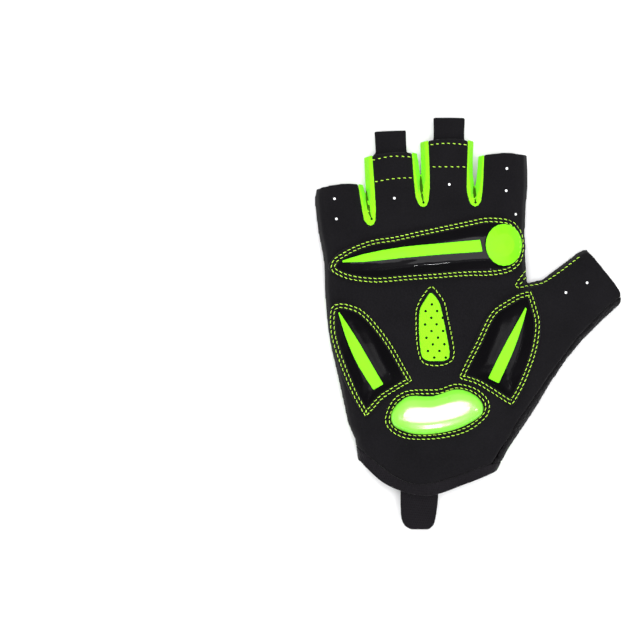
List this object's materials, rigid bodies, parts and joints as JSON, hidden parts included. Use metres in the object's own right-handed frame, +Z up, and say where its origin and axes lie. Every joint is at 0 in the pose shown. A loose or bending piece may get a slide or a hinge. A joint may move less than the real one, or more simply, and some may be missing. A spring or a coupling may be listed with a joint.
{
  "type": "cycling glove",
  "caption": "Right-hand half-finger cycling glove lying palm up, with glossy gel pads, lime gussets between the fingers, pull tabs and a wrist strap on the back.",
  "frame": {"origin": "middle of the underside of the whole glove's box, on the surface it lies on", "axes": "+Y from the wrist to the fingers, +X towards the thumb, +Z up out of the palm"},
  "size_m": [0.1426, 0.1914, 0.0236],
  "materials": {
    "suede": "matt microfibre suede",
    "knit": "dimpled stretch knit",
    "towelling": "towelling",
    "lime_cloth": "smooth cloth",
    "binding": "knitted tape",
    "black_gel": "glossy",
    "lime_gel": "glossy",
    "strap_rubber": "satin moulded"
  },
  "bodies": {
    "root": {"palm_panel": "suede", "back_panel": "knit", "thumb_back": "towelling", "gusset_little_ring": "lime_cloth", "gusset_ring_middle": "lime_cloth", "gusset_middle_index": "lime_cloth", "wrist_hem": "binding", "knuckle_pad": "black_gel", "knuckle_bar": "lime_gel", "knuckle_disc": "lime_gel", "outer_pad": "black_gel", "outer_stripe": "lime_gel", "thumb_pad": "black_gel", "thumb_stripe": "lime_gel", "heel_pad": "lime_gel", "centre_patch": "lime_cloth", "pull_tab_ring": "suede", "pull_tab_middle": "suede", "wrist_tab": "binding", "strap": "strap_rubber", "strap_patch": "strap_rubber", "slit_binding": "binding"}
  },
  "joints": []
}
